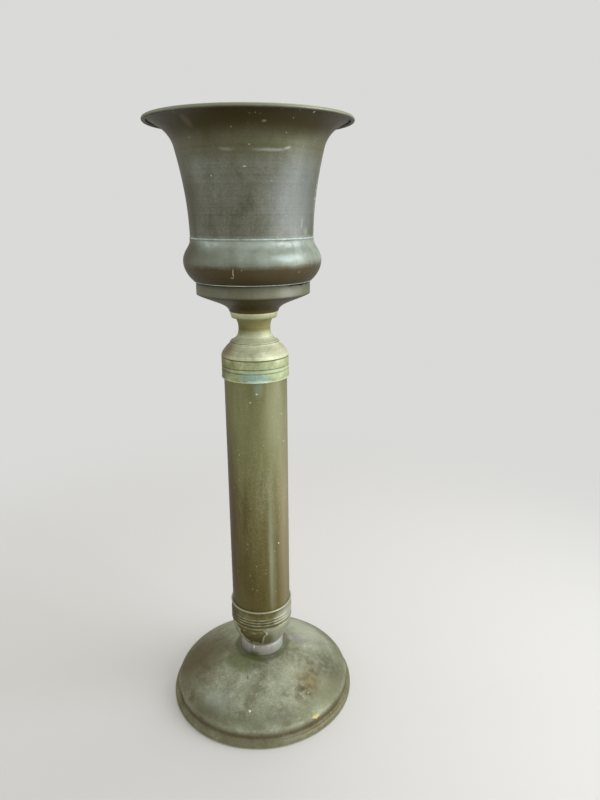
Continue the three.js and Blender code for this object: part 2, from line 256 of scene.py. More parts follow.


# What the tarnish and the painted shade and highlights go by: height, distance from the axis, and
# which way the surface faces.
# Height is also read from a place that wanders a little, which gives bands and marks ragged edges.
def readings(tree, coord, place, look):
    stray = addNode(tree, "TexNoise", {
        "Scale": scaleFor(look["strayPitch"]), "Detail": 3.0, "Vector": place}, "Color")
    stray = addNode(tree, "VectorMath", {"operation": "SUBTRACT", 0: stray, 1: (0.5, 0.5, 0.5)})
    stray = addNode(tree, "VectorMath", {
        "operation": "SCALE", "Scale": look["stray"] * mm, 0: stray})
    ragged = addNode(tree, "VectorMath", {"operation": "ADD", 0: coord["Object"], 1: stray})
    flat = addNode(tree, "VectorMath", {"operation": "MULTIPLY", 0: coord["Object"], 1: (1, 1, 0)})
    away = addNode(tree, "VectorMath", {"operation": "NORMALIZE", 0: flat})
    level = addNode(tree, "SeparateXYZ", {0: coord["Object"]}, "Z")
    radius = addNode(tree, "VectorMath", {"operation": "LENGTH", 0: flat}, "Value")
    across = addNode(tree, "Math", {"operation": "SUBTRACT", 0: level, 1: radius})
    return {
        "ragged": ragged,
        "height": addNode(tree, "SeparateXYZ", {0: ragged}, "Z"),
        "level": level,
        "radius": radius,
        "rings": addNode(tree, "TexNoise", {
            "noise_dimensions": "1D", "Detail": 3.0, "Scale": scaleFor(look["toolPitch"]),
            "W": across}),
        "up": addNode(tree, "SeparateXYZ", {0: coord["Normal"]}, "Z"),
        "out": addNode(tree, "VectorMath", {
            "operation": "DOT_PRODUCT", 0: coord["Normal"], 1: away}, "Value"),
    }


# Broad tarnish from deep to bright, streaks that run down the wall, dirt held in the tool marks
# and a fine grain.
def tarnish(tree, reads, place, grain, look):
    drawn = addNode(tree, "VectorMath", {
        "operation": "MULTIPLY", 0: place, 1: (1, 1, look["drawn"])})
    mottle = addNode(tree, "TexNoise", {
        "Scale": scaleFor(look["mottle"]), "Detail": 5.0, "Roughness": look["patchy"],
        "Vector": drawn})
    ramp = addNode(tree, "ValToRGB", {0: mottle})
    stops = ramp.node.color_ramp
    stops.interpolation = "EASE"
    stops.elements.new(0.5).color = linear(look["middle"])
    ends = zip((0, 2), pattern["tarnishEnds"], (look["deep"], look["bright"]))
    for i, position, shade in ends:
        stops.elements[i].position = position
        stops.elements[i].color = linear(shade)
    down = addNode(tree, "VectorMath", {
        "operation": "MULTIPLY", 0: place, 1: (1, 1, pattern["streakDrawn"])})
    streak = addNode(tree, "TexNoise", {
        "Scale": scaleFor(look["streakWidth"]), "Detail": 3.0, "Vector": down})
    # each pattern lightens as much as it darkens
    light = 1 - (look["streaks"] + look["grains"] + look["rings"]) / 2
    light = addNode(tree, "Math", {
        "operation": "MULTIPLY_ADD", 0: streak, 1: look["streaks"], 2: light})
    for share, source in ((look["grains"], grain), (look["rings"], reads["rings"])):
        light = addNode(tree, "Math", {"operation": "MULTIPLY_ADD", 0: source, 1: share, 2: light})
    return addNode(tree, "VectorMath", {"operation": "SCALE", "Scale": light, 0: ramp})


# What lies over the tarnish, painted shade and highlights among it, from the lowest up: for each
# layer where it shows, and its colour.
def layers(tree, reads, place, look):
    for item in look["bands"]:
        yield bandMask(tree, reads[item["by"]], place, item), item["colour"]
    for item in look["paintedLightSides"]:
        mask = addNode(tree, "MapRange", {
            **soft, 0: reads[item["by"]], 1: item["from"], 2: item["to"], 4: item["strength"]})
        yield mask, item["colour"]
    for item in look["marks"]:
        mask = markMask(tree, reads["ragged"], item)
        yield brokenUp(tree, place, mask, item["broken"]), item["colour"]
    if look["tornEdge"]:
        mask = addNode(tree, "Attribute", {"attribute_name": "torn"}, "Fac")
        yield mask, look["tornEdge"]
    if look["flecks"]:
        yield fleckMask(tree, place, look["flecks"]), look["flecks"]["colour"]


# A side's tint paints shade or a reflection by which way the surface faces. It comes in between
# two readings of how far the surface faces up, or out from the axis, where 1 is fully and -1 is
# the other way.
def facing(by, start, full, strength, colour):
    return {"by": by, "from": start, "to": full, "strength": strength, "colour": colour}


# A band lies between two heights, or between two distances from the axis.
def band(low, high, edge, strength, colour, by="height", broken=0):
    return {"from": low, "to": high, "edge": edge, "strength": strength, "colour": colour,
            "by": by, "broken": broken}


def bandMask(tree, reading, place, item):
    low, high, edge = item["from"] * mm, item["to"] * mm, item["edge"] * mm
    rise = addNode(tree, "MapRange", {**soft, 0: reading, 1: low - edge, 2: low + edge})
    fall = addNode(tree, "MapRange", {
        **soft, 0: reading, 1: high - edge, 2: high + edge, 3: item["strength"], 4: 0.0})
    mask = addNode(tree, "Math", {"operation": "MULTIPLY", 0: rise, 1: fall})
    return brokenUp(tree, place, mask, item["broken"])


# Breaks a mask up into patches of about the given size, or leaves it whole for 0.
def brokenUp(tree, place, mask, size):
    if not size:
        return mask
    low, high = pattern["patchEdge"]
    patch = addNode(tree, "TexNoise", {"Scale": scaleFor(size), "Detail": 3.0, "Vector": place})
    patch = addNode(tree, "MapRange", {**soft, 0: patch, 1: low, 2: high})
    return addNode(tree, "Math", {"operation": "MULTIPLY", 0: mask, 1: patch})


# A mark is a stain, drip or worn place, or a painted highlight or shade, round a point, with its
# size out, along and up the surface.
# It is whole in its core, which is a share of its size, and fades from there.
def mark(angle, radius, height, size, strength, colour, core=0.3, broken=0):
    return {"angle": angle, "radius": radius, "height": height, "size": size,
            "strength": strength, "colour": colour, "core": core, "broken": broken}


def markMask(tree, place, item):
    angle = math.radians(item["angle"])
    point = Vector((math.cos(angle), math.sin(angle), 0)) * item["radius"] * mm
    point.z = item["height"] * mm
    near = addNode(tree, "Mapping", {
        "vector_type": "TEXTURE", "Location": point, "Rotation": (0, 0, angle),
        "Scale": Vector(item["size"]) * mm, "Vector": place})
    far = addNode(tree, "VectorMath", {"operation": "LENGTH", 0: near}, "Value")
    return addNode(tree, "MapRange", {
        **soft, 0: far, 1: item["core"], 2: 1.0, 3: item["strength"], 4: 0.0})


# Dry flecks of lime and paint: a small round spot in some of the cells of a scattered pattern.
def fleckMask(tree, place, flecks):
    size = flecks["size"] / flecks["spacing"]
    core = pattern["fleckCore"] * size
    cells = addNode(tree, "TexVoronoi", {"Scale": scaleFor(flecks["spacing"]), "Vector": place})
    cells = cells.node.outputs
    spot = addNode(tree, "MapRange", {
        **soft, 0: cells["Distance"], 1: core, 2: size, 3: 1.0, 4: 0.0})
    pick = addNode(tree, "SeparateColor", {0: cells["Color"]})
    few = addNode(tree, "Math", {"operation": "LESS_THAN", 0: pick, 1: flecks["share"]})
    return addNode(tree, "Math", {"operation": "MULTIPLY", 0: spot, 1: few})


# Tool marks run round the piece, and the tarnish has a fine tooth.
def relief(tree, reads, grain, look):
    height = addNode(tree, "Math", {
        "operation": "MULTIPLY", 0: reads["rings"], 1: look["toolMarks"]})
    height = addNode(tree, "Math", {
        "operation": "MULTIPLY_ADD", 0: grain, 1: look["tooth"], 2: height})
    return addNode(tree, "Bump", {"Distance": mm, "Strength": 1.0, "Height": height})


# Spun brass sheet under an old brown lacquer: dark and satin, with a painted reflection that makes
# it greyer where it faces up, and painted shade that makes it brown below and inside.
urnBrass = agedMetal("brown tarnished spun brass", {
    "slot": "spun_brass", "mottle": 38, "drawn": 0.5, "patchy": 0.65,
    "deep": "#5b5b4b", "middle": "#6b6c5e", "bright": "#787a6f",
    "streakWidth": 7, "grain": 2.0, "grains": 1.1, "rings": 0.35, "toolMarks": 0.012,
    "toolPitch": 2.4, "tooth": 0.03,
    "rough": (0.42, 0.54), "metallic": 0.34, "coat": 0.1, "coatRough": 0.28, "glance": "#8f8768",
    "gloss": 0.35,
    "bands": [
        band(688, 712, 13, 0.6, "#514e2a"),
        # Painted shade under the flare of the bell.
        band(709, 726, 10, 0.85, "#3a320f"),
        # A painted reflection on the upper bulge of the bowl, which faces up.
        band(582, 607, 5, 0.5, "#9ca797"),
        band(584, 607, 6, 0.3, "#adb9ab", broken=14),
        band(599, 606, 2, 0.3, "#b3beb6", broken=15),
        # Painted shade on the lower bulge of the bowl, which faces down.
        band(556, 578, 3.5, 0.85, "#42361b"),
        band(562, 576, 2, 0.35, "#4f3d1c", broken=12),
        band(544, 558.4, 1, 0.45, "#6c694f", by="level"),
        # Painted shade on the lower corner and underside of the dish.
        band(544, 545.4, 0.4, 0.5, "#35301c", by="level"),
        band(522, 544, 1, 0.9, "#47390f", by="level"),
        # A painted highlight along the curl of the rim.
        band(727.2, 731, 0.6, 0.8, "#8b9078", by="level"),
    ],
    "paintedLightSides": [
        # Painted shade on faces that look down, a painted reflection on faces that look up, and
        # painted shade on the inner faces.
        facing("up", -0.3, -0.9, 0.85, "#31290a"),
        facing("up", 0.35, 0.95, 0.4, "#8b9083"),
        facing("out", -0.2, -0.7, 0.6, "#4a412b"),
    ],
    "marks": [
        # Painted shade on the left of the bell.
        mark(-168, 76, 648, (34, 58, 66), 0.7, "#474332"),
        # A painted cool sheen on the right of the bell.
        mark(-48, 76, 645, (34, 56, 64), 0.4, "#747a7c"),
        # Painted shade on the left and front left of the bowl, and a painted reflection on its
        # front.
        mark(-168, 74, 590, (34, 66, 24), 0.9, "#48432f"),
        mark(-124, 76, 589, (16, 30, 14), 0.5, "#5b5b49", core=0.0),
        mark(-98, 75, 594, (12, 14, 12), 0.35, "#a9b2aa", core=0.0),
        # A painted highlight on the right of the rim.
        mark(-20, 121, 729, (8, 90, 4), 0.6, "#c5bfb2"),
        mark(-107, 80, 693.5, (12, 10, 2.2), 0.45, "#8f9285"),
        mark(-75, 80, 692.5, (12, 24, 2.2), 0.55, "#979a8f"),
        # A painted highlight under the flare.
        mark(-62, 81, 694.5, (10, 5, 2), 0.5, "#a9aca2"),
        mark(-105.5, 77, 573, (6, 0.8, 6), 0.9, "#b7ae8b"),
        mark(-106.5, 75, 568, (6, 1.6, 0.8), 0.8, "#b7ae8b"),
        mark(-41, 71, 622, (6, 0.9, 8), 0.6, "#b7bdb6"),
        mark(-34, 70, 613, (6, 5, 6), 0.4, "#9aa88a"),
        mark(-15, 74, 650, (6, 1.4, 24), 0.9, "#e2e5e2", core=0.6, broken=3),
        # Painted shade on the left of the rim.
        mark(-165, 121, 729, (12, 100, 5), 0.55, "#585936"),
        mark(-8, 78, 680, (6, 2.5, 3), 0.8, "#d5d2c2"),
        mark(-94, 77, 677, (5, 2.4, 0.9), 0.9, "#bcbdaa"),
        mark(-91, 88, 716, (3, 1.5, 2), 0.9, "#a39a80"),
        mark(-81, 90, 717, (4, 3.4, 2), 0.7, "#8f8a72"),
        mark(-84, 96, 723, (4, 2.4, 3), 0.4, "#7c745c"),
        mark(-53, 104, 727, (3, 1.8, 2), 0.9, "#c7beac"),
        mark(-130, 92, 720, (18, 7, 9), 0.3, "#6f674f"),
        mark(-90, 81, 698, (5, 1.1, 1.1), 0.8, "#b2b394"),
        mark(-121, 76, 670, (5, 1, 1), 0.9, "#c8c8ba"),
        mark(-112, 75, 666, (5, 1, 1), 0.8, "#9aa06d"),
        mark(-74, 75, 665, (5, 1.2, 1), 0.7, "#a8a684"),
        mark(-128, 70, 602, (9, 18, 4), 0.6, "#bcc7c0", broken=5),
        # Painted highlights on the right of the bowl.
        mark(-58, 71, 601, (12, 26, 4), 0.5, "#bfcac4", broken=5),
        mark(-88, 71, 600, (12, 26, 5), 0.3, "#b4bdb2"),
        mark(-62, 78, 588, (12, 30, 5), 0.35, "#b3c0bd"),
        # A painted shadow in the gap under the foot of the bowl.
        mark(-40, 66, 557.6, (6, 60, 1.3), 0.95, "#17130b"),
    ],
    "flecks": {"spacing": 6, "size": 0.7, "share": 0.16, "colour": "#9a9980"},
})

# Drawn brass tube, tarnished olive, greener towards its head and browner towards its foot.
tubeBrass = agedMetal("olive tarnished drawn brass", {
    "slot": "tube_brass", "mottle": 30, "drawn": 0.22, "patchy": 0.65,
    "deep": "#655c3a", "middle": "#76714b", "bright": "#888664",
    "streaks": 0.4, "streakWidth": 4, "grain": 1.9, "grains": 2.0, "toolMarks": 0.0, "tooth": 0.04,
    "rough": (0.34, 0.46), "metallic": 0.5, "coat": 0.1, "coatRough": 0.28, "stray": 3,
    "bands": [
        band(330, 460, 60, 0.5, "#858b60"),
        band(80, 250, 90, 0.6, "#564a1e"),
    ],
    "marks": [
        # Painted shade on the left of the tube.
        mark(-168, 38, 270, (20, 34, 230), 0.75, "#4a3621"),
        # A painted highlight running down the right of the tube, and painted light on its right
        # side.
        mark(-69, 38, 215, (8, 4.2, 125), 0.4, "#a6aa92", core=0.0),
        mark(-66, 38, 225, (8, 9, 150), 0.32, "#a0a287", core=0.0),
        mark(-28, 38, 250, (16, 22, 220), 0.5, "#a39678"),
        mark(-52, 38, 400, (16, 24, 90), 0.22, "#a5a58f"),
        mark(-86, 38, 437, (9, 9, 16), 0.45, "#8d9f8b", core=0.1),
        mark(-89, 38, 431, (4, 2, 1), 1.0, "#e2e6d2"),
        mark(-101, 38, 421, (4, 1.8, 1.2), 0.9, "#b9c3a0"),
        mark(-40, 38, 402, (4, 1.2, 1.2), 0.9, "#d2d3b0"),
        mark(-33, 38, 366, (4, 1.4, 1.2), 1.0, "#e4e3c8"),
        mark(-126, 38, 354, (4, 1.2, 1.2), 0.9, "#b8c29c"),
        mark(-52, 38, 232, (4, 1.4, 1.3), 1.0, "#e6e3b6"),
        mark(-114, 38, 235, (4, 1.6, 1), 0.8, "#a7a67e"),
        mark(-111, 38, 190, (4, 1.3, 1), 0.8, "#a7a67e"),
    ],
    "flecks": {"spacing": 6, "size": 0.8, "share": 0.22, "colour": "#aaa983"},
})

# Cast brass that was never lacquered: pale, dull and yellow-green, with fine tool marks.
castBrass = agedMetal("dull cast brass", {
    "slot": "cast_brass", "mottle": 22, "patchy": 0.65,
    "deep": "#abae8a", "middle": "#c0c39f", "bright": "#d1d5b3",
    "streaks": 0.15, "grain": 1.7, "grains": 0.8, "rings": 0.9, "toolMarks": 0.1, "toolPitch": 2.2,
    "tooth": 0.06,
    "rough": (0.52, 0.64), "metallic": 0.3,
    "bands": [
        band(499, 517, 5, 0.82, "#6c632a", by="level"),
        band(516.8, 524, 0.3, 0.35, "#94926a", by="level"),
        band(515.4, 516.8, 0.4, 0.5, "#5c5127", by="level"),
    ],
    "paintedLightSides": [
        # Painted shade on faces that look down.
        facing("up", -0.2, -0.9, 0.7, "#5b4c22"),
    ],
    "marks": [
        # Painted shade on the left of the cap and of the spool's throat.
        mark(-170, 38, 480, (26, 36, 22), 0.8, "#735f45"),
        mark(-150, 20, 504, (12, 14, 12), 0.5, "#545630"),
        mark(-60, 26, 489, (9, 20, 3), 0.6, "#ccd0ae"),
        mark(-25, 36, 478, (24, 32, 16), 0.5, "#b0aa8c"),
    ],
})

# The same casting, with verdigris, a chalky blue-green salt, in its grooves and on its lower edge.
ferruleBrass = agedMetal("verdigris cast brass", {
    "slot": "cast_brass", "mottle": 12, "patchy": 0.7,
    "deep": "#8a8d5f", "middle": "#a0a579", "bright": "#b9be97",
    "grain": 1.7, "grains": 0.9, "rings": 0.5, "toolMarks": 0.04, "toolPitch": 2.2, "tooth": 0.06,
    "rough": (0.5, 0.62), "metallic": 0.35, "stray": 3, "strayPitch": 5,
    "bands": [
        band(34, 39.95, 0.12, 0.8, "#565c40", by="radius"),
        band(34, 39.95, 0.12, 0.45, "#86a08c", by="radius", broken=6),
        # Painted highlights on the lower bead and on the ridge between the grooves.
        band(444, 446.3, 0.5, 0.55, "#c6cfa8", by="level"),
        band(456, 458.6, 0.5, 0.5, "#bcc69c", by="level"),
        band(447, 456, 1, 0.25, "#86a092", by="level", broken=4),
    ],
    "marks": [
        mark(-94, 40, 450.5, (9, 26, 6), 0.8, "#6d9189", broken=2.5),
        mark(-90, 40, 451, (9, 28, 8), 0.5, "#93b3a6"),
        mark(-80, 40, 463, (9, 16, 5), 0.35, "#93a98c"),
        # A painted highlight on the lower bead.
        mark(-84, 40, 446, (9, 22, 1.8), 0.8, "#cfdccf"),
        mark(-104, 40, 457, (9, 18, 2.5), 0.5, "#9db49c"),
        # Painted shade on the left and painted light on the right.
        mark(-170, 40, 457, (18, 32, 20), 0.75, "#5f5538"),
        mark(-38, 40, 457, (14, 24, 18), 0.25, "#c9d3ab"),
    ],
})

# Foot ferrule and cup: dark olive tarnish, rubbed pale on the beads, which also carry a painted
# highlight.
footBrass = agedMetal("dark olive brass", {
    "slot": "foot_brass", "mottle": 12, "patchy": 0.7,
    "deep": "#504a29", "middle": "#635d3a", "bright": "#7b7853",
    "grain": 1.7, "grains": 0.9,
    "rough": (0.38, 0.5), "metallic": 0.5, "coat": 0.1, "coatRough": 0.3,
    "bands": [
        # Pale bead crests and a pale top bead: rubbed wear, with a painted highlight over it.
        band(39.75, 42, 0.35, 0.35, "#a5a687", by="radius"),
        band(39.75, 42, 0.35, 0.5, "#b3b498", by="radius", broken=7),
        band(134.5, 138, 0.4, 0.6, "#b1b493", by="level"),
        band(76, 109.8, 1, 0.55, "#6b6540", by="level"),
        band(103.5, 106, 0.8, 0.6, "#a9a780", broken=7),
    ],
    "marks": [
        # Painted light on the right and painted shade on the left.
        mark(-30, 40, 124, (16, 34, 18), 0.7, "#b3b6a3"),
        mark(-165, 40, 122, (18, 32, 20), 0.7, "#4c3f28"),
    ],
})

# Base and collar: bare sheet gone grey-green, mottled and stained by wet umbrellas, with painted
# shade on the wall, the undersides and round the foot of the collar, and painted highlights.
baseBrass = agedMetal("mottled grey-green brass", {
    "slot": "base_brass", "mottle": 26, "patchy": 0.74,
    "deep": "#75755e", "middle": "#8e917a", "bright": "#a6aa94",
    "streaks": 0.0, "grain": 2.2, "grains": 1.2, "rings": 0.2, "toolMarks": 0.03, "toolPitch": 5,
    "tooth": 0.07,
    "rough": (0.46, 0.6), "metallic": 0.4, "stray": 14, "strayPitch": 20,
    "bands": [
        # Painted shade on the upright wall between lip and shoulder.
        band(9, 17, 4, 0.75, "#534118", by="level"),
        band(2, 9, 1.5, 0.5, "#625636", by="level"),
        band(22, 34, 6, 0.55, "#64664b"),
        band(-1, 1.4, 0.5, 0.8, "#b6b89c", by="level"),
        # A painted highlight along the shoulder of the dome.
        band(19, 22, 1.2, 0.4, "#a2a389", by="level", broken=18),
        band(62, 77, 1, 0.8, "#a5a197", by="level"),
        band(64, 76, 1, 0.4, "#8a8488", by="level", broken=5),
        # Painted shade round the foot of the collar.
        band(60.5, 62.6, 0.6, 0.6, "#4b4b2c", by="level"),
        band(24, 60, 3, 0.2, "#6b6a52", broken=6),
    ],
    "paintedLightSides": [
        # Painted shade on faces that look down.
        facing("up", -0.2, -0.9, 0.8, "#4b3f26"),
    ],
    "marks": [
        # Darker brown towards the back left.
        mark(175, 90, 42, (72, 96, 60), 0.8, "#4f4025", core=0.1),
        mark(180, 60, 53, (34, 26, 30), 0.4, "#4e4a29", core=0.1),
        mark(-129, 97, 36, (20, 32, 18), 0.5, "#8e958a", core=0.0),
        mark(-150, 110, 27, (13, 17, 14), 0.6, "#4d4530", core=0.1, broken=7),
        mark(-110, 104, 31, (12, 20, 12), 0.5, "#5c6043", core=0.1, broken=6),
        mark(-80, 104, 31, (14, 30, 12), 0.5, "#64675a", core=0.1, broken=7),
        mark(-133, 113, 25, (20, 46, 20), 0.55, "#555039", core=0.1),
        mark(-131, 45, 58, (24, 32, 16), 0.65, "#5f673a"),
        mark(-62, 66, 50, (30, 36, 20), 0.3, "#83866f", core=0.0),
        mark(9, 53, 57, (22, 9, 14), 0.55, "#8b8390"),
        mark(-24, 98, 35, (56, 84, 50), 0.75, "#65644a", core=0.1),
        # Painted light on the back right of the dome.
        mark(35, 72, 48, (40, 52, 30), 0.6, "#aeb29e"),
        mark(-45, 83, 44, (26, 24, 20), 0.5, "#7d6d49", core=0.1),
        mark(-48, 86, 42, (26, 24, 22), 0.6, "#5a5138", core=0.2, broken=7),
        mark(-56, 91, 40, (17, 18, 16), 0.85, "#453e28", core=0.2, broken=9),
        mark(-17, 92, 39, (28, 28, 24), 0.65, "#5a584c", core=0.2, broken=6),
        mark(-32, 78, 46, (18, 17, 16), 0.7, "#5d5643", core=0.2, broken=7),
        mark(-55, 116, 20, (5, 9, 2), 0.9, "#cbbb78"),
        # A painted highlight on the dome.
        mark(-101, 97, 36, (5, 1.3, 1.3), 1.0, "#efeee2"),
        mark(-110, 61, 54, (5, 1.6, 1.6), 0.8, "#3f3a2a"),
        mark(-38, 28, 69, (5, 30, 9), 0.85, "#a3ac99", core=0.5),
        # Painted shade on the base beside the collar.
        mark(-110, 32, 61, (6, 26, 8), 0.7, "#545d30"),
        # A painted highlight on the collar.
        mark(-113, 28, 73, (8, 1.8, 5), 0.9, "#e2e0da"),
    ],
    "flecks": {"spacing": 7, "size": 0.8, "share": 0.14, "colour": "#b6b59d"},
})

# Soft solder gone grey-green: a cast, lumpy metal with a dull sheen, brighter on its torn edge.
solderGrey = agedMetal("tarnished soft solder", {
    "slot": "solder", "mottle": 9, "patchy": 0.7,
    "deep": "#979d93", "middle": "#b3bab2", "bright": "#c9d0ca",
    "streaks": 0.0, "grain": 1.0, "grains": 0.5, "toolMarks": 0.0, "tooth": 0.12,
    "rough": (0.42, 0.55), "metallic": 0.4,
    "bands": [
        band(60, 110, 1, 0.8, "#8d8c6f"),
    ],
    "marks": [
        # Painted shadow on the skin under the foot ferrule.
        mark(-80, 35, 92, (16, 13, 22), 0.8, "#625f3a", core=0.4),
        mark(-35, 34, 88, (16, 20, 16), 0.5, "#a6a894"),
        # A painted highlight on the front of the line of solder round the foot of the bowl.
        mark(-115, 67.5, 559, (6, 70, 3), 0.8, "#e0e0cc"),
    ],
    "tornEdge": "#bdba96",
})

# Zinc plated steel gone dull: neutral grey with a soft gleam.
steelGrey = agedMetal("dull zinc plated steel", {
    "slot": "steel", "mottle": 9,
    "deep": "#6c6a64", "middle": "#85837d", "bright": "#98968f",
    "streaks": 0.0, "grain": 1.2, "grains": 0.25, "tooth": 0.04,
    "rough": (0.36, 0.5), "metallic": 0.9,
})

# Sand cast iron: black, dry and rough from the mould.
ironBlack = agedMetal("sand cast iron", {
    "slot": "iron", "mottle": 14,
    "deep": "#302d2a", "middle": "#3d3a36", "bright": "#4b453d",
    "streaks": 0.0, "grain": 1.8, "grains": 0.5, "toolMarks": 0.0, "tooth": 0.25,
    "rough": (0.7, 0.85), "metallic": 0.4,
})
print("materials made")


lap = 7                     # how far a spun piece of the urn reaches into the one below it
sheet = 1.0                 # wall of the urn
seating = 0.25              # how far a piece settles into the 0.3 mm that the frame leaves under it
rodBore = 5.05              # hole for the tie rod

bell = {
    "footRadius": 69.9, "knee": (69.9, 44.4), "wallTop": (82, 94.4), "flareSlope": 20,
    "tailRadius": 69.1, "wireRadius": 1.0, "fit": 0.3, "wrap": 292,
}


def makeBell():
    seat, top, rim = measure("urn_bell", lap)
    curl = bell["wireRadius"] + bell["fit"]
    middle = Vector((rim - sheet - curl, top - sheet - curl))
    slope = bell["flareSlope"]
    wall = Vector(bell["wallTop"]) - Vector(bell["knee"])
    wallSlope = math.degrees(math.atan2(wall.y, wall.x))
    outline = [(bell["tailRadius"], -lap), (bell["tailRadius"], 0), (bell["footRadius"], 0)]
    curve(outline, bell["knee"], bell["wallTop"], steps=24)
    bend(outline, wallSlope, middle + along(90 + slope) * curl, slope, steps=20)
    arc(outline, middle, curl, 90 + slope, 90 + slope - bell["wrap"], steps=18)
    piece = turned("bellSheet", outline, seat, "urn_bell", urnBrass, closed=False, steps=192)
    dent(piece, depth=0.35, spacing=45)
    thicken(piece, sheet)


# The wire that the rim is curled round shows only in the slit of the curl.
def makeRimWire():
    low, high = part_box("rim_wire")
    radius, steps = bell["wireRadius"], 24
    outline = []
    arc(outline, (high.x / mm - radius, (low.z + high.z) / 2 / mm), radius, 0, 360 - 360 / steps,
        steps - 1)
    turned("rimWire", outline, 0, "rim_wire", steelGrey, steps=192, edge=0.05)


bowl = {
    "footRadius": 67.3, "footSlope": 42, "bulge": (79, 22.8), "turn": (74.5, 36), "turnSlope": 123,
    "neck": (70.4, 44.6), "tailRadius": 64.7,
}


def makeBowl():
    seat, top, _ = measure("urn_bowl", lap)
    outline = [(bowl["tailRadius"], -lap), (bowl["tailRadius"], 0), (bowl["footRadius"], 0)]
    bend(outline, bowl["footSlope"], bowl["bulge"], 90, steps=18)
    bend(outline, 90, bowl["turn"], bowl["turnSlope"], steps=12)
    bend(outline, bowl["turnSlope"], bowl["neck"], 90, steps=10)
    outline.append((bowl["neck"][0], top))
    piece = turned("bowlSheet", outline, seat, "urn_bowl", urnBrass, closed=False, steps=192)
    dent(piece, depth=0.3, spacing=45)
    thicken(piece, sheet)


# Solder also shows as a bright line round the foot of the bowl; its front is brightened by a
# painted highlight.
footLine = {"size": 0.65, "wallRadius": 66.9, "height": 0.05}


def makeFootLine():
    seat = measure("urn_bowl", lap)[0]
    outline = [(footLine["wallRadius"], footLine["height"])]
    bead(outline, bowl["footRadius"], footLine["height"], footLine["size"])
    outline.append((footLine["wallRadius"], footLine["height"] + 2 * footLine["size"]))
    turned("bowlFootLine", outline, seat, None, solderGrey, steps=192, edge=0)


dish = {"footRadius": 29.2, "turn": (46, 12.3), "slope": 21, "bandHeight": 13.8}


def makeDish():
    seat, top, radius = measure("urn_dish")
    outline = [(rodBore, 0), (dish["footRadius"], 0)]
    bend(outline, 90, dish["turn"], dish["slope"], steps=16)
    bend(outline, dish["slope"], (radius, top - dish["bandHeight"]), 90, steps=10)
    outline.append((radius, top))
    piece = turned("dishSheet", outline, seat, "urn_dish", urnBrass, closed=False, steps=192)
    dent(piece, depth=0.2, spacing=45)
    thicken(piece, sheet)


# Solder run round the foot of the bell, fuller in some places than in others.
seam = {"size": 0.7, "wallRadius": 69.5, "creep": 0.4, "thin": 0.55, "spacing": 16}


def makeSeam():
    seat, _, crest = measure("seam_bead")
    outline = [(seam["wallRadius"], -seating), (crest - seam["size"], -seating)]
    bead(outline, crest - seam["size"], 0, seam["size"])
    outline.append((seam["wallRadius"], 2 * seam["size"] + seam["creep"]))
    piece = turned("bellSeam", outline, seat, "seam_bead", solderGrey, steps=300, edge=0.1)
    for vert in piece.data.vertices:
        away = math.hypot(vert.co.x, vert.co.y) - seam["wallRadius"] * mm
        full = noise.noise(outward(vert.co) * seam["wallRadius"] / seam["spacing"])
        vert.co -= outward(vert.co) * max(0, away) * (1 - seam["thin"]) * (0.5 - 0.5 * full)


makeBell()
makeRimWire()
makeBowl()
makeFootLine()
makeDish()
makeSeam()
print("urn made")


spool = {
    "footRadius": 28.2, "footEdge": 1, "footCut": (0.4, 0.2), "sweep": 4, "waistRadius": 18.9,
    "waistHeight": 15.7, "headRadius": 22.4, "flangeHeight": 7.2, "flangeTaper": 2,
}


def makeSpool():
    seat, top, radius = measure("neck_spool")
    flange = top - spool["flangeHeight"]
    waist, waistHeight = spool["waistRadius"], spool["waistHeight"]
    foot, cut = spool["footRadius"], spool["footCut"]
    outline = [(rodBore, -seating), (foot - cut[0], -seating), (foot, cut[1]),
               (foot, spool["footEdge"])]
    curve(outline, (waist, spool["sweep"]), (waist, waistHeight), steps=16)
    curve(outline, (waist, (waistHeight + flange) / 2), (spool["headRadius"], flange), steps=10)
    outline += [(radius - spool["flangeTaper"], flange), (radius, top), (rodBore, top)]
    turned("neckSpool", outline, seat, "neck_spool", castBrass, edge=0.5)


# Cap and cup both have a spigot that enters the tube, and are cast with the same wall.
spigot = {"length": 12, "radius": 36.15, "wall": 3}
castWall = 4

cap = {"radius": 40.3, "edge": 0.7, "shoulder": 5.2, "topRadius": 29.4, "step": 1.4}


def makeCap():
    seat, top, _ = measure("cap_dome", spigot["length"])
    radius, topRadius, ceiling = cap["radius"], cap["topRadius"], top - castWall
    bore = spigot["radius"] - spigot["wall"]
    outline = [(bore, -spigot["length"]), (spigot["radius"], -spigot["length"]),
               (spigot["radius"], 0), (radius - cap["edge"], 0), (radius, cap["edge"])]
    curve(outline, (radius, cap["shoulder"]), (topRadius, top - cap["step"]), steps=20)
    outline += [(topRadius, top), (rodBore, top), (rodBore, ceiling),
                (topRadius - castWall, ceiling), (bore, cap["shoulder"])]
    turned("capDome", outline, seat, "cap_dome", castBrass, edge=0.3)


capRing = {
    "bore": 38.12, "radius": 40.3, "beadSize": 0.9, "grooves": (10.7, 15.4), "grooveSize": 0.7,
}


def makeCapFerrule():
    seat, top, _ = measure("cap_ferrule")
    radius, size = capRing["radius"], capRing["grooveSize"]
    outline = [(capRing["bore"], 0)]
    bead(outline, radius - capRing["beadSize"] / 2, 0, capRing["beadSize"])
    outline.append((radius, 2 * capRing["beadSize"]))
    for height in capRing["grooves"]:
        groove(outline, radius, height, size)
    outline += [(radius, top - size), (radius - size, top), (capRing["bore"], top)]
    turned("capFerrule", outline, seat, "cap_ferrule", ferruleBrass, edge=0.2)


makeSpool()
makeCap()
makeCapFerrule()
print("spool and cap made")


tube = {"radius": 38.1, "wall": 1.65, "rings": 24}


